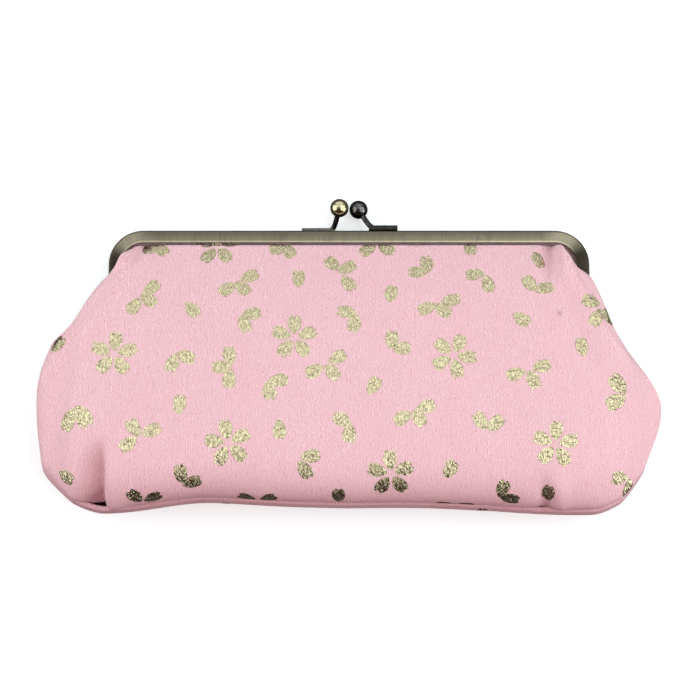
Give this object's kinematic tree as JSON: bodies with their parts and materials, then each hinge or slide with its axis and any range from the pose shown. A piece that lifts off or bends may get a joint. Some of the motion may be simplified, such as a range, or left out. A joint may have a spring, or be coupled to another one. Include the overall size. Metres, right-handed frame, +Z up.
{
  "type": "clutch bag",
  "caption": "Kiss-lock clutch bag: a puffed crepe pouch with scattered gold blossoms in a hinged antique-brass channel frame with a twin-ball clasp, lying on its back.",
  "frame": {"origin": "centre of the bag's footprint on the table", "axes": "+Z up out of the front panel, +Y towards the frame and its clasp, +X to the right seen from the front"},
  "size_m": [0.2696, 0.1373, 0.042],
  "materials": {
    "antique_brass": "brushed antique brass",
    "gunmetal": "dark plated brass",
    "bright_brass": "polished antique brass",
    "pink_crepe": "matt crepe with gold foil blossoms",
    "lining_cloth": "plain weave",
    "paper_cord": "twisted paper"
  },
  "bodies": {
    "bag": {"back_frame": "antique_brass", "left_hinge_rivet": "antique_brass", "right_hinge_rivet": "antique_brass", "back_paper_cord": "paper_cord", "back_clasp_stem": "gunmetal", "back_clasp_ball": "bright_brass", "outer_front_panel": "pink_crepe", "outer_back_panel": "pink_crepe", "lining_front_panel": "lining_cloth", "lining_back_panel": "lining_cloth"},
    "front_half": {"front_frame": "antique_brass", "front_paper_cord": "paper_cord", "front_clasp_stem": "gunmetal", "front_clasp_ball": "gunmetal"}
  },
  "joints": [
    {"name": "frame_hinge", "type": "hinge", "parent": "bag", "child": "front_half", "pos_m": [0, 0.01629, 0.01077], "axis": [1, 0, 0], "range_deg": [0, 90], "deforming": ["outer_front_panel", "lining_front_panel"]}
  ]
}
